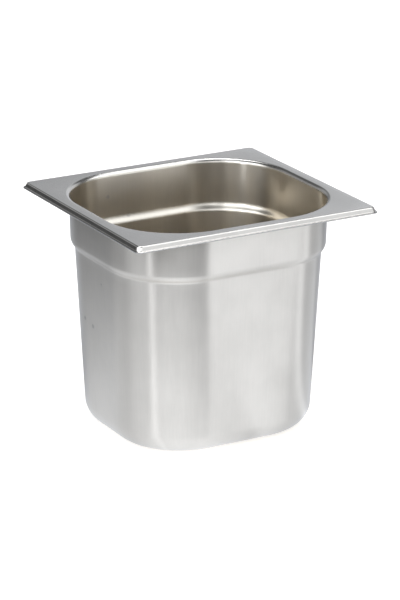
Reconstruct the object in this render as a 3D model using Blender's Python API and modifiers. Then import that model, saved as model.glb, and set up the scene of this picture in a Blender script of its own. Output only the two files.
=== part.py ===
"""Deli food pan: a deep-drawn stainless-steel Gastronorm 1/6 container, 150 mm deep.

The pan is one piece of sheet. Its profile is walked once, from the cut edge of the rim, over the
flange, down the wall past the stacking shoulder and round to the floor. Each point of that walk
becomes one rounded-rectangle ring, and the rings are lofted into the food-side skin, because the
rim's nearly square corners and the wall's wide ones are unlike sections. Solidify then gives the
skin its gauge on the outer side.

Units are metres. +Z is up, X runs along the flange's long side, Y along its short side, and the
origin is the centre of the underside of the floor.
"""

import math

import bmesh
import bpy
import numpy as np

MM = 0.001

# Overall size: Gastronorm 1/6 flange, and the height over everything.
FLANGE_LENGTH = 176.0 * MM
FLANGE_WIDTH = 162.0 * MM
HEIGHT = 155.0 * MM
SHEET = 0.8 * MM

# Rim: a short lip flares out at the foot of a sloping skirt, which bends over into the flange.
RIM_HEIGHT = 4.0 * MM
LIP_RUN = 0.55 * MM
LIP_TILT = math.radians(12.0)
LIP_ROOT_RADIUS = 0.5 * MM
SKIRT_TILT = math.radians(68.0)
RIM_BEND_RADIUS = 1.1 * MM
RIM_CORNER_AT_LIP = 4.0 * MM
RIM_CORNER_AT_FLANGE = 2.8 * MM

# Opening and upper wall, on the food side.
OPENING_INSET = 11.5 * MM
OPENING_CORNER = 48.5 * MM
MOUTH_RADIUS = 3.0 * MM
UPPER_DRAFT = math.radians(1.3)

# Stacking shoulder: the wall steps in by SHOULDER_INSET, round at the top and tight at the foot.
SHOULDER_TOP = 125.6 * MM
SHOULDER_INSET = 2.5 * MM
SHOULDER_HEAD_RADIUS = 6.2 * MM
SHOULDER_FOOT_RADIUS = 2.8 * MM
SHOULDER_CORNER = 46.6 * MM

# Lower wall and floor.
LOWER_DRAFT = math.radians(2.35)
FLOOR_RADIUS = 13.4 * MM
FLOOR_CORNER = 46.2 * MM

# Fineness of the facets.
CORNER_STEPS = 12
BEND_STEP = math.radians(15.0)

PART_NAME = "deli_food_pan"
NODE_NAME = "pan"
STEEL_COLOUR = (0.60, 0.59, 0.57, 1.0)
STEEL_ROUGHNESS = 0.32


def clear_scene():
    """Remove every object that the scene starts with."""
    for old in list(bpy.data.objects):
        bpy.data.objects.remove(old, do_unlink=True)


class Profile:
    """A walk over the sheet: points of (inset from the rim's edge, height) and a heading."""

    def __init__(self, inset, height, heading):
        self.points = [(inset, height)]
        self.heading = heading

    def end(self):
        return self.points[-1]

    def run(self, length):
        """Go straight on."""
        inset, height = self.end()
        inset += length * math.cos(self.heading)
        height += length * math.sin(self.heading)
        self.points.append((inset, height))

    def run_to_height(self, height):
        """Go straight on to a height."""
        self.run((height - self.end()[1]) / math.sin(self.heading))

    def run_to_inset(self, inset):
        """Go straight on to an inset."""
        self.run((inset - self.end()[0]) / math.cos(self.heading))

    def bend_to(self, heading, radius):
        """Follow an arc of the given radius until the new heading."""
        turn = heading - self.heading
        steps = max(2, round(abs(turn) / BEND_STEP))
        side = math.copysign(1.0, turn)
        inset, height = self.end()
        centre_inset = inset - side * radius * math.sin(self.heading)
        centre_height = height + side * radius * math.cos(self.heading)
        for step in range(1, steps + 1):
            angle = self.heading + turn * step / steps
            self.points.append((
                centre_inset + side * radius * math.sin(angle),
                centre_height - side * radius * math.cos(angle),
            ))
        self.heading = heading


def rim_profile():
    """From the lip's cut edge up the skirt to the flat of the flange, lip edge at inset 0."""
    walk = Profile(0.0, HEIGHT - RIM_HEIGHT + SHEET * math.cos(LIP_TILT), LIP_TILT)
    walk.run(LIP_RUN)
    walk.bend_to(SKIRT_TILT, LIP_ROOT_RADIUS)
    walk.run_to_height(HEIGHT - RIM_BEND_RADIUS * (1.0 - math.cos(SKIRT_TILT)))
    walk.bend_to(0.0, RIM_BEND_RADIUS)
    return walk


def shoulder_angle(draft_above, draft_below):
    """How far the wall leans in between the shoulder's two arcs, from the vertical."""
    head = SHOULDER_HEAD_RADIUS
    foot = SHOULDER_FOOT_RADIUS
    cosine = (
        head * math.cos(draft_above) + foot * math.cos(draft_below) - SHOULDER_INSET
    ) / (head + foot)
    return math.acos(cosine)


def pan_sections():
    """Every ring of the food side as (inset, height, corner radius), from the lip to the floor.

    The corner radius is known at a few stations and changes evenly with the inset between them.
    """
    down = -math.pi / 2
    walk = rim_profile()
    stations = [(0.0, RIM_CORNER_AT_LIP), (walk.end()[0], RIM_CORNER_AT_FLANGE)]

    walk.run_to_inset(OPENING_INSET - MOUTH_RADIUS)
    stations.append((walk.end()[0], OPENING_CORNER + MOUTH_RADIUS))
    walk.bend_to(down + UPPER_DRAFT, MOUTH_RADIUS)
    walk.run_to_height(SHOULDER_TOP)
    stations.append((walk.end()[0], OPENING_CORNER + OPENING_INSET - walk.end()[0]))
    walk.bend_to(down + shoulder_angle(UPPER_DRAFT, LOWER_DRAFT), SHOULDER_HEAD_RADIUS)
    walk.bend_to(down + LOWER_DRAFT, SHOULDER_FOOT_RADIUS)
    stations.append((walk.end()[0], SHOULDER_CORNER))

    walk.run_to_height(SHEET + FLOOR_RADIUS * (1.0 - math.sin(LOWER_DRAFT)))
    stations.append((walk.end()[0], FLOOR_CORNER))
    walk.bend_to(0.0, FLOOR_RADIUS)
    floor_turn = walk.end()[0] - stations[-1][0]
    stations.append((walk.end()[0], FLOOR_CORNER - floor_turn))

    insets, corners = zip(*stations)
    return [(inset, height, np.interp(inset, insets, corners)) for inset, height in walk.points]


def rounded_rectangle(half_length, half_width, corner):
    """Corner points of a rounded rectangle, counter-clockwise, CORNER_STEPS to a quarter turn."""
    points = []
    for quarter, (sign_x, sign_y) in enumerate(((1, 1), (-1, 1), (-1, -1), (1, -1))):
        centre_x = sign_x * (half_length - corner)
        centre_y = sign_y * (half_width - corner)
        for step in range(CORNER_STEPS + 1):
            angle = math.pi / 2 * (quarter + step / CORNER_STEPS)
            points.append((
                centre_x + corner * math.cos(angle),
                centre_y + corner * math.sin(angle),
            ))
    return points


def loft(sections):
    """Skin the sections in order and close the last one with a flat floor."""
    mesh = bmesh.new()
    rings = []
    for inset, height, corner in sections:
        outline = rounded_rectangle(FLANGE_LENGTH / 2 - inset, FLANGE_WIDTH / 2 - inset, corner)
        rings.append([mesh.verts.new((x, y, height)) for x, y in outline])
    for outer, inner in zip(rings, rings[1:]):
        count = len(outer)
        for i in range(count):
            j = (i + 1) % count
            mesh.faces.new((outer[i], outer[j], inner[j], inner[i]))
    mesh.faces.new(rings[-1])
    return mesh


def steel():
    """Stainless sheet with a satin brushed face."""
    material = bpy.data.materials.new("brushed_steel")
    material.use_nodes = True
    shader = material.node_tree.nodes["Principled BSDF"]
    shader.inputs["Base Color"].default_value = STEEL_COLOUR
    shader.inputs["Metallic"].default_value = 1.0
    shader.inputs["Roughness"].default_value = STEEL_ROUGHNESS
    return material


def make_pan(collection):
    """The pan: the lofted food side, thickened outward to the sheet's gauge."""
    skin = loft(pan_sections())
    data = bpy.data.meshes.new(NODE_NAME)
    skin.to_mesh(data)
    skin.free()
    data.materials.append(steel())
    data.shade_smooth()
    data.set_sharp_from_angle(angle=math.radians(35.0))

    pan = bpy.data.objects.new(NODE_NAME, data)
    collection.objects.link(pan)
    gauge = pan.modifiers.new("gauge", "SOLIDIFY")
    gauge.thickness = SHEET
    gauge.offset = -1.0
    gauge.use_even_offset = True
    gauge.use_quality_normals = True
    return pan


def main():
    clear_scene()
    collection = bpy.data.collections.new(PART_NAME)
    bpy.context.scene.collection.children.link(collection)
    make_pan(collection)


main()
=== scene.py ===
"""Deli food pan: the looks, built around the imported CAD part.

The one piece of the object is a deep-drawn sheet of stainless steel. It is lofted here along the
same profile as the CAD solid, at much finer steps, so that the steel's reflections run without
facets, and it gets the faint waves that deep drawing leaves in such walls. Metres, +Z up, X along
the flange's long side, the origin at the centre of the underside of the floor.
"""

import math
from collections import namedtuple

import bmesh
import bpy
import numpy as np
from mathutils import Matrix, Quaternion, Vector, noise


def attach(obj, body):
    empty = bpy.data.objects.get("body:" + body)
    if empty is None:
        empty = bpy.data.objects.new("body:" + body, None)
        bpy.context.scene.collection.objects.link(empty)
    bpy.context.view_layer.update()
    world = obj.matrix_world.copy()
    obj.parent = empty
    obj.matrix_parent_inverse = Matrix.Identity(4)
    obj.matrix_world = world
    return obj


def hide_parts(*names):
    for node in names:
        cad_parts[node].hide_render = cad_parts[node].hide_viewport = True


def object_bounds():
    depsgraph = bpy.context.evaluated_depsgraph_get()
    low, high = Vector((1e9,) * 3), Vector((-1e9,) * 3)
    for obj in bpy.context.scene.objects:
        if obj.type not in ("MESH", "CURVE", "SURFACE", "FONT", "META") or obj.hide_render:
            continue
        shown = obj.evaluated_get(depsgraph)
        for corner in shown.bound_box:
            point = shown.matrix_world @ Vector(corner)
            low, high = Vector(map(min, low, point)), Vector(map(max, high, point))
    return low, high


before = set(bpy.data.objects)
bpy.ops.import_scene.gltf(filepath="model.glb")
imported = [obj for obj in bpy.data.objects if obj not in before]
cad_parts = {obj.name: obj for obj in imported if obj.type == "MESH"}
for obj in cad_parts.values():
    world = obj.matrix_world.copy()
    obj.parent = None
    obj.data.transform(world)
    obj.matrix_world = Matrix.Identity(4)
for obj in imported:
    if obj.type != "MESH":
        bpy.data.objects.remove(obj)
CAD_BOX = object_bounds()

MM = 0.001

# ---------------------------------------------------------------- the pan's dimensions
# They are the CAD's, except that three follow the photograph a little more closely: the CAD has
# 0.55 mm for LIP_RUN, 68 degrees for SKIRT_TILT and 2.8 mm for SHOULDER_FOOT_RADIUS.
HEIGHT = CAD_BOX[1].z
FLANGE_LENGTH = CAD_BOX[1].x - CAD_BOX[0].x
FLANGE_WIDTH = CAD_BOX[1].y - CAD_BOX[0].y
SHEET = 0.8 * MM

RIM_HEIGHT = 4.0 * MM
LIP_RUN = 0.80 * MM
LIP_TILT = math.radians(12.0)
LIP_ROOT_RADIUS = 0.5 * MM
SKIRT_TILT = math.radians(71.0)
RIM_BEND_RADIUS = 1.1 * MM
RIM_CORNER_AT_LIP = 4.0 * MM
RIM_CORNER_AT_FLANGE = 2.8 * MM

OPENING_INSET = 11.5 * MM
OPENING_CORNER = 48.5 * MM
MOUTH_RADIUS = 3.0 * MM
UPPER_DRAFT = math.radians(1.3)

SHOULDER_TOP = 125.6 * MM
SHOULDER_INSET = 2.5 * MM
SHOULDER_HEAD_RADIUS = 6.2 * MM
SHOULDER_FOOT_RADIUS = 4.2 * MM
SHOULDER_CORNER = 46.6 * MM

LOWER_DRAFT = math.radians(2.35)
FLOOR_RADIUS = 13.4 * MM
FLOOR_CORNER = 46.2 * MM

# How finely it is lofted, and the rounding of the cut edge.
CORNER_STEPS = 28
SIDE_STEPS = 18
BEND_STEP = math.radians(6.0)
BEND_STEPS_MIN = 4
RUN_STEP = 5.0 * MM
FLOOR_RINGS = (0.75, 0.5, 0.25)
EDGE_ROUNDING = 0.12 * MM
EDGE_SEGMENTS = 2
EDGE_ANGLE = math.radians(60.0)

# The walls' waves: their size and depth, the finer ripple on them, and the heights between which
# they fade in above the floor and out below the mouth.
WAVE_SIZE = 26.0 * MM
WAVE_DEPTH = 0.035 * MM
WAVE_FLATTENED = 0.45
WAVE_PLACE = (3.1, 1.7, 0.4)
RIPPLE_SHARE = 0.35
RIPPLE_FINER = 2.7
WAVES_RISE = (2.0 * MM, 14.0 * MM)
WAVES_FALL = (150.0 * MM, 146.0 * MM)

# Where rubbing has brightened the sheet: between two heights on the shoulder, and out to an inset
# from the rim's edge.
WORN_FOOT = 119.6 * MM
WORN_HEAD = 124.6 * MM
RIM_WORN = 2.4 * MM
WORN_FADE = 1.6 * MM
SHOULDER_WORN = 0.04

# Inside, the wall was brushed upright near the mouth, less and less so down to the shoulder.
BRUSHED_FROM = 126.0 * MM
BRUSHED_TO = 150.0 * MM

# The finish changes from the flange's to the well's round the mouth, between these insets.
FLANGE_ENDS = OPENING_INSET - 0.9 * MM
WELL_STARTS = OPENING_INSET + 0.1 * MM


def smooth_step(low, high, value):
    """0 at low, 1 at high, level beyond them and smooth between them."""
    share = min(1.0, max(0.0, (value - low) / (high - low)))
    return share * share * (3.0 - 2.0 * share)


class Profile:
    """A walk over the sheet: points of (inset from the rim's edge, height) and a heading."""

    def __init__(self, inset, height, heading):
        self.points = [(inset, height)]
        self.heading = heading

    def end(self):
        return self.points[-1]

    def run(self, length):
        """Go straight on, in even steps no longer than RUN_STEP."""
        inset, height = self.end()
        steps = max(1, math.ceil(length / RUN_STEP))
        for step in range(1, steps + 1):
            gone = length * step / steps
            self.points.append((
                inset + gone * math.cos(self.heading),
                height + gone * math.sin(self.heading),
            ))

    def run_to_height(self, height):
        """Go straight on to a height."""
        self.run((height - self.end()[1]) / math.sin(self.heading))

    def run_to_inset(self, inset):
        """Go straight on to an inset."""
        self.run((inset - self.end()[0]) / math.cos(self.heading))

    def bend_to(self, heading, radius):
        """Follow an arc of the given radius until the new heading."""
        turn = heading - self.heading
        steps = max(BEND_STEPS_MIN, round(abs(turn) / BEND_STEP))
        side = math.copysign(1.0, turn)
        inset, height = self.end()
        centre_inset = inset - side * radius * math.sin(self.heading)
        centre_height = height + side * radius * math.cos(self.heading)
        for step in range(1, steps + 1):
            angle = self.heading + turn * step / steps
            self.points.append((
                centre_inset + side * radius * math.sin(angle),
                centre_height - side * radius * math.cos(angle),
            ))
        self.heading = heading


def rim_profile():
    """From the lip's cut edge up the skirt to the flat of the flange, lip edge at inset 0."""
    walk = Profile(0.0, HEIGHT - RIM_HEIGHT + SHEET * math.cos(LIP_TILT), LIP_TILT)
    walk.run(LIP_RUN)
    walk.bend_to(SKIRT_TILT, LIP_ROOT_RADIUS)
    walk.run_to_height(HEIGHT - RIM_BEND_RADIUS * (1.0 - math.cos(SKIRT_TILT)))
    walk.bend_to(0.0, RIM_BEND_RADIUS)
    return walk


def shoulder_angle(draft_above, draft_below):
    """How far the wall leans in between the shoulder's two arcs, from the vertical."""
    head = SHOULDER_HEAD_RADIUS
    foot = SHOULDER_FOOT_RADIUS
    cosine = (
        head * math.cos(draft_above) + foot * math.cos(draft_below) - SHOULDER_INSET
    ) / (head + foot)
    return math.acos(cosine)


def pan_sections():
    """Every ring of the food side as (inset, height, corner radius), from the lip to the floor.

    The corner radius is known at a few stations and changes evenly with the inset between them.
    """
    down = -math.pi / 2
    walk = rim_profile()
    stations = [(0.0, RIM_CORNER_AT_LIP), (walk.end()[0], RIM_CORNER_AT_FLANGE)]

    walk.run_to_inset(OPENING_INSET - MOUTH_RADIUS)
    stations.append((walk.end()[0], OPENING_CORNER + MOUTH_RADIUS))
    walk.bend_to(down + UPPER_DRAFT, MOUTH_RADIUS)
    walk.run_to_height(SHOULDER_TOP)
    stations.append((walk.end()[0], OPENING_CORNER + OPENING_INSET - walk.end()[0]))
    walk.bend_to(down + shoulder_angle(UPPER_DRAFT, LOWER_DRAFT), SHOULDER_HEAD_RADIUS)
    walk.bend_to(down + LOWER_DRAFT, SHOULDER_FOOT_RADIUS)
    stations.append((walk.end()[0], SHOULDER_CORNER))

    walk.run_to_height(SHEET + FLOOR_RADIUS * (1.0 - math.sin(LOWER_DRAFT)))
    stations.append((walk.end()[0], FLOOR_CORNER))
    walk.bend_to(0.0, FLOOR_RADIUS)
    floor_turn = walk.end()[0] - stations[-1][0]
    stations.append((walk.end()[0], FLOOR_CORNER - floor_turn))

    insets, corners = zip(*stations)
    return [(inset, height, np.interp(inset, insets, corners)) for inset, height in walk.points]


def rounded_rectangle(half_length, half_width, corner):
    """Corner points of a rounded rectangle, counter-clockwise, its straight sides divided too."""
    points = []
    signs = ((1, 1), (-1, 1), (-1, -1), (1, -1))
    for quarter, (sign_x, sign_y) in enumerate(signs):
        centre_x = sign_x * (half_length - corner)
        centre_y = sign_y * (half_width - corner)
        for step in range(CORNER_STEPS + 1):
            angle = math.pi / 2 * (quarter + step / CORNER_STEPS)
            points.append((
                centre_x + corner * math.cos(angle),
                centre_y + corner * math.sin(angle),
            ))
        next_x, next_y = signs[(quarter + 1) % 4]
        end_angle = math.pi / 2 * (quarter + 1)
        end_x = next_x * (half_length - corner) + corner * math.cos(end_angle)
        end_y = next_y * (half_width - corner) + corner * math.sin(end_angle)
        start_x, start_y = points[-1]
        for step in range(1, SIDE_STEPS):
            share = step / SIDE_STEPS
            points.append((
                start_x + (end_x - start_x) * share,
                start_y + (end_y - start_y) * share,
            ))
    return points


def wear(inset, height):
    """How far the sheet is rubbed bright at a ring: a little on the shoulder, more on the rim."""
    shoulder = smooth_step(WORN_FOOT - WORN_FADE, WORN_FOOT, height)
    shoulder *= 1.0 - smooth_step(WORN_HEAD, WORN_HEAD + WORN_FADE, height)
    rim = 1.0 - smooth_step(RIM_WORN, RIM_WORN + WORN_FADE, inset)
    return max(SHOULDER_WORN * shoulder, rim)


def loft(sections):
    """Skin the sections in order, and close the floor with shrinking rings and one last face.

    Four values at each point tell the steel where it is: in the well, rubbed bright, how far in
    from the rim's edge in millimetres, and brushed upright.
    """
    mesh = bmesh.new()
    in_well = mesh.verts.layers.float.new("well")
    worn = mesh.verts.layers.float.new("worn")
    inward = mesh.verts.layers.float.new("inward")
    brushed = mesh.verts.layers.float.new("brushed")
    rings = []
    for inset, height, corner in sections:
        outline = rounded_rectangle(FLANGE_LENGTH / 2 - inset, FLANGE_WIDTH / 2 - inset, corner)
        rings.append([mesh.verts.new((x, y, height)) for x, y in outline])
        for vert in rings[-1]:
            vert[in_well] = smooth_step(FLANGE_ENDS, WELL_STARTS, inset)
            vert[worn] = wear(inset, height)
            vert[inward] = inset / MM
            vert[brushed] = smooth_step(BRUSHED_FROM, BRUSHED_TO, height)
    floor_ring = [v.co.copy() for v in rings[-1]]
    for share in FLOOR_RINGS:
        rings.append([mesh.verts.new((co.x * share, co.y * share, co.z)) for co in floor_ring])
        for vert in rings[-1]:
            vert[in_well] = 1.0
    for outer, inner in zip(rings, rings[1:]):
        count = len(outer)
        for i in range(count):
            j = (i + 1) % count
            mesh.faces.new((outer[i], outer[j], inner[j], inner[i]))
    mesh.faces.new(rings[-1])
    return mesh


def wave(skin):
    """Move the walls in and out by a few hundredths of a millimetre, as deep drawing does."""
    skin.normal_update()
    moves = []
    for vert in skin.verts:
        x, y, z = vert.co
        on_wall = smooth_step(*WAVES_FALL, z) * smooth_step(*WAVES_RISE, z)
        place = Vector((x, y, z * WAVE_FLATTENED)) / WAVE_SIZE
        depth = noise.noise(place + Vector(WAVE_PLACE))
        depth += RIPPLE_SHARE * noise.noise(place * RIPPLE_FINER)
        moves.append(vert.normal * (WAVE_DEPTH * on_wall * depth))
    for vert, move in zip(skin.verts, moves):
        vert.co += move


# ---------------------------------------------------------------- shader nodes
def node(tree, kind, **settings):
    """A new shader node with its properties set."""
    made = tree.nodes.new(kind)
    for name, value in settings.items():
        setattr(made, name, value)
    return made


def value_of(tree, socket, value):
    """Feed a socket from another socket or from a plain number or colour."""
    if isinstance(value, bpy.types.NodeSocket):
        tree.links.new(value, socket)
    else:
        socket.default_value = value


def maths(tree, operation, a, b=0.0, c=0.0):
    """The result of one step of arithmetic."""
    made = node(tree, "ShaderNodeMath", operation=operation)
    for socket, value in zip(made.inputs, (a, b, c)):
        value_of(tree, socket, value)
    return made.outputs[0]


def varied(tree, base, pattern, amount):
    """A value that a pattern, 0.5 on average, moves up and down."""
    centred = maths(tree, "SUBTRACT", pattern, 0.5)
    return maths(tree, "MULTIPLY_ADD", centred, amount, base)


def ramp(tree, value, low, high, start=0.0, end=1.0):
    """A smooth change from start at low to end at high, level beyond them."""
    made = node(tree, "ShaderNodeMapRange", clamp=True, interpolation_type="SMOOTHSTEP")
    value_of(tree, made.inputs["Value"], value)
    made.inputs["From Min"].default_value = low
    made.inputs["From Max"].default_value = high
    made.inputs["To Min"].default_value = start
    made.inputs["To Max"].default_value = end
    return made.outputs["Result"]


def point_value(tree, name):
    """One of the values that loft() leaves at the mesh's points."""
    return node(tree, "ShaderNodeAttribute", attribute_name=name).outputs["Fac"]


def place_on_object(tree, scale):
    """The object's own coordinates, stretched by three factors (features per metre)."""
    where = node(tree, "ShaderNodeTexCoord")
    stretch = node(tree, "ShaderNodeMapping")
    tree.links.new(where.outputs["Object"], stretch.inputs["Vector"])
    stretch.inputs["Scale"].default_value = scale
    return stretch.outputs["Vector"]


def noise_of(tree, scale, detail=3.0, roughness=0.55):
    """Noise on the object, of so many features per metre along its three axes."""
    made = node(tree, "ShaderNodeTexNoise")
    tree.links.new(place_on_object(tree, scale), made.inputs["Vector"])
    made.inputs["Scale"].default_value = 1.0
    made.inputs["Detail"].default_value = detail
    made.inputs["Roughness"].default_value = roughness
    return made.outputs["Fac"]


def mix_colour(tree, share, a, b):
    """The colour a where the share is 0, and b where it is 1."""
    made = node(tree, "ShaderNodeMix", data_type="RGBA")
    value_of(tree, made.inputs[0], share)
    value_of(tree, made.inputs[6], a)
    value_of(tree, made.inputs[7], b)
    return made.outputs[2]


def mix_value(tree, share, a, b):
    """The value a where the share is 0, and b where it is 1."""
    made = node(tree, "ShaderNodeMix", data_type="FLOAT")
    value_of(tree, made.inputs[0], share)
    value_of(tree, made.inputs[2], a)
    value_of(tree, made.inputs[3], b)
    return made.outputs[0]


def bump(tree, height, distance, strength, under=None):
    """The normal over a relief of the given depth, laid over the relief under it."""
    made = node(tree, "ShaderNodeBump")
    value_of(tree, made.inputs["Height"], height)
    made.inputs["Distance"].default_value = distance
    value_of(tree, made.inputs["Strength"], strength)
    if under is not None:
        tree.links.new(under, made.inputs["Normal"])
    return made.outputs["Normal"]


# ---------------------------------------------------------------- steel
# Colours: dull and bright steel outside and on the flange, the warmer and slightly darker tones of
# the well, which are painted shade standing in for the warm light bounced round inside it, the raw
# cut edge, and the specks.
STEEL_DULL = (0.60, 0.555, 0.49, 1.0)
STEEL = (0.665, 0.615, 0.545, 1.0)
WELL_DULL_PAINTED_SHADE = (0.59, 0.532, 0.44, 1.0)
WELL_STEEL_PAINTED_SHADE = (0.655, 0.593, 0.495, 1.0)
CUT_STEEL = (0.42, 0.40, 0.37, 1.0)
SPECK_STEEL = (0.40, 0.375, 0.34, 1.0)

# The sheet was rubbed round and round, so its gloss is drawn out upright. A little lean keeps the
# direction defined on the flat flange.
UPRIGHT = (0.06, 0.03, 1.0)

# Patterns on the sheet, in features per metre along X, Y and Z.
CLOUDS = (38.0, 38.0, 30.0)
DRAW_LINES = (900.0, 900.0, 22.0)
WIDE_LINES = (160.0, 160.0, 5.0)
GRAIN = (2600.0, 2600.0, 1700.0)
RUBBED_PATCHES = (120.0, 120.0, 160.0)
DENTS = (24.0, 24.0, 105.0)
DENT_DEPTH = 0.04 * MM

# How far the draw lines join the clouds in the colour, and the sum's span from dull to bright.
LINES_IN_TONE = 0.4
TONE_SPAN = (0.4, 1.0)
LINES_IN_GLOSS = 0.8
WIDE_LINES_DEEPER = 3.0

# Where the sheet is rubbed bright: the least share of it on any patch, and the gloss it gains.
PATCH_SPAN = (0.3, 0.7)
RUBBED_LEAST = 0.55
RUBBED_SMOOTHER = 0.6

# Polishing lines round the flange, and how much they wander.
RINGS_PER_MM = 5.0
RINGS_WANDER = (22.0, 22.0, 22.0)
RING_DEPTH = 0.0006 * MM
RING_SPREAD = 0.05

# Specks: the size of their cells, the share of cells that have one, its reach within the cell and
# how ragged its outline is.
SPECKS_PER_M = 70.0
SPECK_SHARE = 0.10
SPECK_SIZE = 0.14
SPECK_CORE = 0.4
SPECK_OUTLINE = (1400.0, 1400.0, 900.0)
SPECK_RAGGED = 0.12
SPECK_STRENGTH = 0.55
SPECK_ROUGHER = 0.12

# One finish of the sheet. flange, well and mouth are (roughness, upright smear) on the flange, in
# the well and near its mouth. The tones are (dull, bright) colours. line_depth and grain_depth
# are depths of relief, and spread is how much the roughness varies.
Finish = namedtuple(
    "Finish", "name flange well mouth flange_tones well_tones line_depth grain_depth spread")
FOOD_SIDE = Finish(
    name="steel_food_side",
    flange=(0.23, 0.30),
    well=(0.29, 0.70),
    mouth=(0.29, 0.93),
    flange_tones=(STEEL_DULL, STEEL),
    # The well's tones are painted warm shade for the light bounced round inside it.
    well_tones=(WELL_DULL_PAINTED_SHADE, WELL_STEEL_PAINTED_SHADE),
    line_depth=0.0005 * MM,
    grain_depth=0.0015 * MM,
    spread=0.025,
)
OUTSIDE = Finish(
    name="steel_outside",
    flange=(0.31, 0.95),
    well=(0.31, 0.95),
    mouth=(0.31, 0.95),
    flange_tones=(STEEL_DULL, STEEL),
    well_tones=(STEEL_DULL, STEEL),
    line_depth=0.0008 * MM,
    grain_depth=0.002 * MM,
    spread=0.045,
)
CUT_EDGE = Finish(
    name="steel_cut_edge",
    flange=(0.40, 0.0),
    well=(0.40, 0.0),
    mouth=(0.40, 0.0),
    flange_tones=(CUT_STEEL, CUT_STEEL),
    well_tones=(CUT_STEEL, CUT_STEEL),
    line_depth=0.002 * MM,
    grain_depth=0.006 * MM,
    spread=0.10,
)


def polish_rings(tree):
    """Fine polishing lines that run round the flange, parallel to its edge and its corners."""
    across = node(tree, "ShaderNodeCombineXYZ")
    inward = maths(tree, "MULTIPLY", point_value(tree, "inward"), RINGS_PER_MM)
    tree.links.new(inward, across.inputs[0])
    tree.links.new(noise_of(tree, RINGS_WANDER, 1.0), across.inputs[1])
    made = node(tree, "ShaderNodeTexNoise")
    tree.links.new(across.outputs[0], made.inputs["Vector"])
    made.inputs["Scale"].default_value = 1.0
    made.inputs["Detail"].default_value = 3.0
    return made.outputs["Fac"]


def specks(tree):
    """Small dull marks of use, 1 to 3 mm across, on a few spots of the well, inside and outside."""
    cells = node(tree, "ShaderNodeTexVoronoi")
    tree.links.new(place_on_object(tree, (SPECKS_PER_M,) * 3), cells.inputs["Vector"])
    cells.inputs["Scale"].default_value = 1.0
    lot = node(tree, "ShaderNodeSeparateColor")
    tree.links.new(cells.outputs["Color"], lot.inputs[0])
    chosen = maths(tree, "GREATER_THAN", lot.outputs[0], 1.0 - SPECK_SHARE)
    outline = noise_of(tree, SPECK_OUTLINE, 2.0)
    reach = varied(tree, cells.outputs["Distance"], outline, SPECK_RAGGED)
    spot = ramp(tree, reach, SPECK_SIZE * SPECK_CORE, SPECK_SIZE, 1.0, 0.0)
    return maths(tree, "MULTIPLY", maths(tree, "MULTIPLY", spot, chosen), SPECK_STRENGTH)


def steel(finish):
    """Stainless steel: draw lines down the walls, a fine satin grain and cloudy patches."""
    material = bpy.data.materials.new(finish.name)
    material.use_nodes = True
    tree = material.node_tree
    shader = tree.nodes["Principled BSDF"]
    shader.inputs["Metallic"].default_value = 1.0

    in_well = point_value(tree, "well")
    on_flange = maths(tree, "SUBTRACT", 1.0, in_well)
    near_mouth = point_value(tree, "brushed")
    clouds = noise_of(tree, CLOUDS)
    lines = noise_of(tree, DRAW_LINES, 3.0, 0.6)
    wide_lines = noise_of(tree, WIDE_LINES, 2.0, 0.5)
    grain = noise_of(tree, GRAIN, 2.0, 0.6)
    dents = noise_of(tree, DENTS, 2.0, 0.45)
    rings = polish_rings(tree)
    marks = maths(tree, "MULTIPLY", specks(tree), in_well)

    tone = ramp(tree, maths(tree, "MULTIPLY_ADD", lines, LINES_IN_TONE, clouds), *TONE_SPAN)
    on_flange_colour = mix_colour(tree, tone, *finish.flange_tones)
    # On the food side the well takes its warmer, darker tones, painted shade for the light bounced
    # round inside it; outside they are the plain steel.
    in_well_colour = mix_colour(tree, tone, *finish.well_tones)
    colour = mix_colour(tree, in_well, on_flange_colour, in_well_colour)
    value_of(tree, shader.inputs["Base Color"], mix_colour(tree, marks, colour, SPECK_STEEL))

    rough, smear = (
        mix_value(tree, in_well, on_the_flange, mix_value(tree, near_mouth, below, near_it))
        for on_the_flange, below, near_it in zip(finish.flange, finish.well, finish.mouth)
    )
    patches = ramp(tree, noise_of(tree, RUBBED_PATCHES, 2.0), *PATCH_SPAN, RUBBED_LEAST, 1.0)
    worn = maths(tree, "MULTIPLY", point_value(tree, "worn"), patches)
    worn = maths(tree, "MULTIPLY", worn, RUBBED_SMOOTHER)
    rough = maths(tree, "MULTIPLY", rough, maths(tree, "SUBTRACT", 1.0, worn))
    rough = varied(tree, rough, clouds, finish.spread)
    rough = varied(tree, rough, lines, finish.spread * LINES_IN_GLOSS)
    ringed = maths(tree, "MULTIPLY", on_flange, RING_SPREAD)
    rough = varied(tree, rough, rings, ringed)
    rough = maths(tree, "MULTIPLY_ADD", marks, SPECK_ROUGHER, rough)
    value_of(tree, shader.inputs["Roughness"], rough)

    value_of(tree, shader.inputs["Anisotropic"], smear)
    upright = node(tree, "ShaderNodeCombineXYZ")
    for socket, value in zip(upright.inputs, UPRIGHT):
        socket.default_value = value
    tree.links.new(upright.outputs[0], shader.inputs["Tangent"])

    normal = bump(tree, dents, DENT_DEPTH, in_well)
    normal = bump(tree, wide_lines, finish.line_depth * WIDE_LINES_DEEPER, 1.0, normal)
    normal = bump(tree, lines, finish.line_depth, 1.0, normal)
    normal = bump(tree, rings, RING_DEPTH, on_flange, normal)
    normal = bump(tree, grain, finish.grain_depth, 1.0, normal)
    tree.links.new(normal, shader.inputs["Normal"])
    return material


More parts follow.
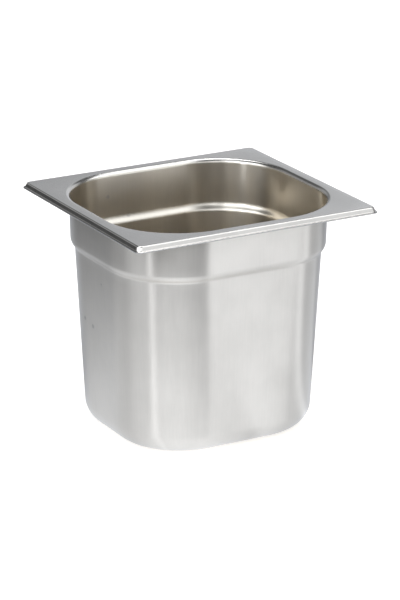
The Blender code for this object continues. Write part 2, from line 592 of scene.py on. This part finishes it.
def make_pan():
    """The pan as one sheet: the lofted food side, thickened outward to the sheet's gauge."""
    skin = loft(pan_sections())
    wave(skin)
    data = bpy.data.meshes.new("pan_sheet")
    skin.to_mesh(data)
    skin.free()
    data.shade_smooth()
    for finish in (FOOD_SIDE, OUTSIDE, CUT_EDGE):
        data.materials.append(steel(finish))

    pan = bpy.data.objects.new("pan_sheet", data)
    bpy.context.scene.collection.objects.link(pan)
    gauge = pan.modifiers.new("gauge", "SOLIDIFY")
    gauge.thickness = SHEET
    gauge.offset = -1.0
    gauge.use_even_offset = True
    gauge.use_quality_normals = True
    gauge.material_offset = 1  # the outside takes the second finish
    gauge.material_offset_rim = 2  # and the cut edge the third
    edge = pan.modifiers.new("cut_edge", "BEVEL")
    edge.width = EDGE_ROUNDING
    edge.segments = EDGE_SEGMENTS
    edge.limit_method = "ANGLE"
    edge.angle_limit = EDGE_ANGLE
    return pan


# ---------------------------------------------------------------- camera
CAMERA_PLACE = (-0.87913, -1.56248, 0.70539)
CAMERA_AIM = (0.00126, -0.00073, 0.08230)
CAMERA_ROLL = math.radians(0.166)
CAMERA_LENS = 173.31
CAMERA_SENSOR = 36.0


def make_camera():
    """The camera at the photograph's place, for a frame of 2:3."""
    data = bpy.data.cameras.new("camera")
    data.lens = CAMERA_LENS
    data.sensor_width = CAMERA_SENSOR
    camera = bpy.data.objects.new("camera", data)
    camera.location = CAMERA_PLACE
    look = Vector(CAMERA_AIM) - Vector(CAMERA_PLACE)
    turn = Quaternion((0.0, 0.0, 1.0), CAMERA_ROLL)
    camera.rotation_mode = "QUATERNION"
    camera.rotation_quaternion = look.to_track_quat("-Z", "Y") @ turn
    bpy.context.scene.collection.objects.link(camera)
    bpy.context.scene.camera = camera


# ---------------------------------------------------------------- studio
# Compass of the studio: bearings are in degrees, turned to the right, as seen from the
# photograph's side, from the line that runs from the pan to the photograph's place.
FACING = math.atan2(CAMERA_PLACE[1], CAMERA_PLACE[0])
COOL = (0.918, 0.985, 1.095, 1.0)
ALMOST_ONE = 0.99999

# Soft panels of the light tent. half is half a panel's width in bearing, past which it fades, and
# low and high are the elevations between which it is bright.
Panel = namedtuple("Panel", "bearing half fade low high fade_high strength")
PANELS = (
    Panel(66.5, 11.5, 6.0, 0.0, 5.0, 4.0, 2.65),
    Panel(66.5, 11.5, 6.0, 0.0, 30.0, 8.0, 1.05),
    Panel(67.0, 11.0, 8.0, 32.0, 66.0, 8.0, 1.8),
    Panel(93.0, 8.0, 8.0, 0.0, 30.0, 8.0, 0.6),
    Panel(95.0, 8.0, 8.0, 32.0, 66.0, 8.0, 2.4),
    Panel(118.0, 12.0, 14.0, 50.0, 70.0, 8.0, 1.0),
    Panel(-45.0, 24.0, 18.0, 18.0, 44.0, 12.0, 2.6),
    Panel(-38.5, 1.5, 3.0, -2.0, 30.0, 10.0, 4.4),
    Panel(-62.0, 12.0, 10.0, 0.0, 30.0, 12.0, 0.8),
    Panel(-120.0, 34.0, 16.0, 8.0, 24.0, 10.0, 0.38),
    Panel(28.0, 16.0, 14.0, 18.0, 36.0, 8.0, 1.4),
    Panel(-4.0, 10.0, 14.0, 18.0, 46.0, 8.0, 1.3),
    Panel(155.0, 15.0, 30.0, 0.0, 24.0, 8.0, 0.78),
    Panel(180.0, 20.0, 25.0, 54.0, 68.0, 5.0, 5.6),
    Panel(0.0, 180.0, 1.0, 74.0, 90.0, 1.0, 0.6),
    Panel(-30.0, 12.0, 15.0, 46.0, 66.0, 10.0, 0.9),
)
PANEL_FADE_LOW = 2.0
TENT_DIM = 0.09

FLOOR_SIZE = 6.0
FLOOR_GAP = 0.2 * MM
FLOOR_COLOUR = (0.874, 0.812, 0.727, 1.0)
FLOOR_ROUGHNESS = 0.8
FLOOR_GLOW = 0.5

# Pools of light painted on the floor, which only the steel's reflections see. inner and outer are
# the distances in metres between which a pool fades in and between which it fades out.
Pool = namedtuple("Pool", "bearing half fade strength inner outer")
NO_INNER_EDGE = (-1.0, 0.0)
PAINTED_POOLS = (
    Pool(-45.0, 43.0, 58.0, 0.68, NO_INNER_EDGE, (0.32, 0.40)),
    Pool(12.0, 20.0, 32.0, 0.48, NO_INNER_EDGE, (0.34, 0.40)),
    Pool(68.0, 18.0, 14.0, 0.62, NO_INNER_EDGE, (0.60, 0.80)),
    Pool(68.0, 18.0, 14.0, 1.70, (0.60, 0.80), (2.40, 3.00)),
    Pool(106.0, 14.0, 16.0, 0.56, NO_INNER_EDGE, (2.40, 3.00)),
    Pool(180.0, 30.0, 40.0, 0.36, (0.14, 0.24), (0.60, 1.20)),
)

# The pan's upright highlight mirrors a narrow painted pool of light that fans out from the near
# corner's centre.
PAINTED_STREAK_POOL = Pool(-38.0, 2.5, 4.0, 0.30, NO_INNER_EDGE, (0.45, 0.65))
STREAK_APEX = (-43.5 * MM, -44.1 * MM, 0.0)

# Between the pools the floor's painted light is this bright near the pan, fading out between these
# distances.
FLOOR_DIM = 0.40
FLOOR_EDGE = (0.35, 0.70)


def bearing(degrees):
    """A level direction, so many degrees to the right of the facing side."""
    angle = FACING + math.radians(degrees)
    return Vector((math.cos(angle), math.sin(angle), 0.0))


def turned_from(tree, level, degrees):
    """The angle in radians between a level direction and a bearing."""
    dot = node(tree, "ShaderNodeVectorMath", operation="DOT_PRODUCT")
    tree.links.new(level, dot.inputs[0])
    dot.inputs[1].default_value = bearing(degrees)
    cosine = maths(tree, "MINIMUM", dot.outputs["Value"], ALMOST_ONE)
    return maths(tree, "ARCCOSINE", maths(tree, "MAXIMUM", cosine, -ALMOST_ONE))


def level_of(tree, vector):
    """(the level direction of a vector, its height)."""
    parts = node(tree, "ShaderNodeSeparateXYZ")
    tree.links.new(vector, parts.inputs[0])
    flat = node(tree, "ShaderNodeCombineXYZ")
    tree.links.new(parts.outputs[0], flat.inputs[0])
    tree.links.new(parts.outputs[1], flat.inputs[1])
    unit = node(tree, "ShaderNodeVectorMath", operation="NORMALIZE")
    tree.links.new(flat.outputs[0], unit.inputs[0])
    return unit.outputs[0], parts.outputs[2]


def length_of(tree, vector):
    """How long a vector is."""
    made = node(tree, "ShaderNodeVectorMath", operation="LENGTH")
    tree.links.new(vector, made.inputs[0])
    return made.outputs["Value"]


def rise(tree, angle, degrees, fade):
    """1 from the given degrees up, and a fade to 0 below them."""
    return ramp(tree, angle, math.radians(degrees - fade), math.radians(degrees))


def fall(tree, angle, degrees, fade):
    """1 up to the given degrees, and a fade to 0 above them."""
    return ramp(tree, angle, math.radians(degrees), math.radians(degrees + fade), 1.0, 0.0)


def choose_by_ray(tree, kind, usual, special, socket):
    """Feed a surface with the special shader for one kind of ray, and with the usual for others."""
    rays = node(tree, "ShaderNodeLightPath")
    choose = node(tree, "ShaderNodeMixShader")
    tree.links.new(rays.outputs[kind], choose.inputs[0])
    tree.links.new(usual.outputs[0], choose.inputs[1])
    tree.links.new(special.outputs[0], choose.inputs[2])
    tree.links.new(choose.outputs[0], socket)


def make_world():
    """A light tent of soft panels, white where the camera looks past the floor."""
    world = bpy.data.worlds.new("studio")
    bpy.context.scene.world = world
    world.use_nodes = True
    tree = world.node_tree
    tree.nodes.clear()
    where = node(tree, "ShaderNodeTexCoord")
    level, height = level_of(tree, where.outputs["Generated"])
    elevation = maths(tree, "ARCSINE", height)
    glow = TENT_DIM
    for panel in PANELS:
        across = fall(tree, turned_from(tree, level, panel.bearing), panel.half, panel.fade)
        above = rise(tree, elevation, panel.low, PANEL_FADE_LOW)
        below = fall(tree, elevation, panel.high, panel.fade_high)
        patch = maths(tree, "MULTIPLY", across, maths(tree, "MULTIPLY", above, below))
        glow = maths(tree, "MULTIPLY_ADD", patch, panel.strength, glow)
    tent = node(tree, "ShaderNodeBackground")
    tent.inputs["Color"].default_value = COOL
    tree.links.new(glow, tent.inputs["Strength"])
    white = node(tree, "ShaderNodeBackground")
    white.inputs["Strength"].default_value = 1.0
    out = node(tree, "ShaderNodeOutputWorld")
    choose_by_ray(tree, "Is Camera Ray", tent, white, out.inputs["Surface"])


def add_pool(tree, place, pool, glow):
    """The painted glow with one painted pool of light added, for places measured from the pool's
    own centre.
    """
    level, _ = level_of(tree, place)
    away = length_of(tree, place)
    across = fall(tree, turned_from(tree, level, pool.bearing), pool.half, pool.fade)
    inner = ramp(tree, away, *pool.inner)
    outer = ramp(tree, away, *pool.outer, 1.0, 0.0)
    patch = maths(tree, "MULTIPLY", across, maths(tree, "MULTIPLY", inner, outer))
    return maths(tree, "MULTIPLY_ADD", patch, pool.strength, glow)


def make_floor_material():
    """Plain and pale, but the steel mirrors it as a table with pools of light painted on it."""
    material = bpy.data.materials.new("floor")
    material.use_nodes = True
    tree = material.node_tree
    pale = tree.nodes["Principled BSDF"]
    pale.inputs["Base Color"].default_value = FLOOR_COLOUR
    pale.inputs["Roughness"].default_value = FLOOR_ROUGHNESS
    pale.inputs["Emission Color"].default_value = (1.0, 1.0, 1.0, 1.0)
    pale.inputs["Emission Strength"].default_value = FLOOR_GLOW

    place = node(tree, "ShaderNodeTexCoord").outputs["Object"]
    glow = ramp(tree, length_of(tree, place), *FLOOR_EDGE, FLOOR_DIM, 0.0)
    for pool in PAINTED_POOLS:
        glow = add_pool(tree, place, pool, glow)
    from_apex = node(tree, "ShaderNodeVectorMath", operation="SUBTRACT")
    tree.links.new(place, from_apex.inputs[0])
    from_apex.inputs[1].default_value = STREAK_APEX
    glow = add_pool(tree, from_apex.outputs["Vector"], PAINTED_STREAK_POOL, glow)
    # The pools are painted light: an emission that only glossy rays see, so only the steel's
    # reflections show it.
    painted_light = node(tree, "ShaderNodeEmission")
    painted_light.inputs["Color"].default_value = COOL
    tree.links.new(glow, painted_light.inputs["Strength"])
    surface = tree.nodes["Material Output"].inputs["Surface"]
    choose_by_ray(tree, "Is Glossy Ray", pale, painted_light, surface)
    return material


def make_floor():
    """A plain pale floor, a hair below the pan."""
    mesh = bmesh.new()
    bmesh.ops.create_grid(mesh, x_segments=1, y_segments=1, size=FLOOR_SIZE / 2)
    data = bpy.data.meshes.new("floor")
    mesh.to_mesh(data)
    mesh.free()
    data.materials.append(make_floor_material())
    floor = bpy.data.objects.new("floor", data)
    floor.location.z = -FLOOR_GAP
    bpy.context.scene.collection.objects.link(floor)


make_camera()
pan_piece = make_pan()
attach(pan_piece, "root")
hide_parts("pan")
make_floor()
make_world()
bpy.context.scene.view_settings.view_transform = "Standard"
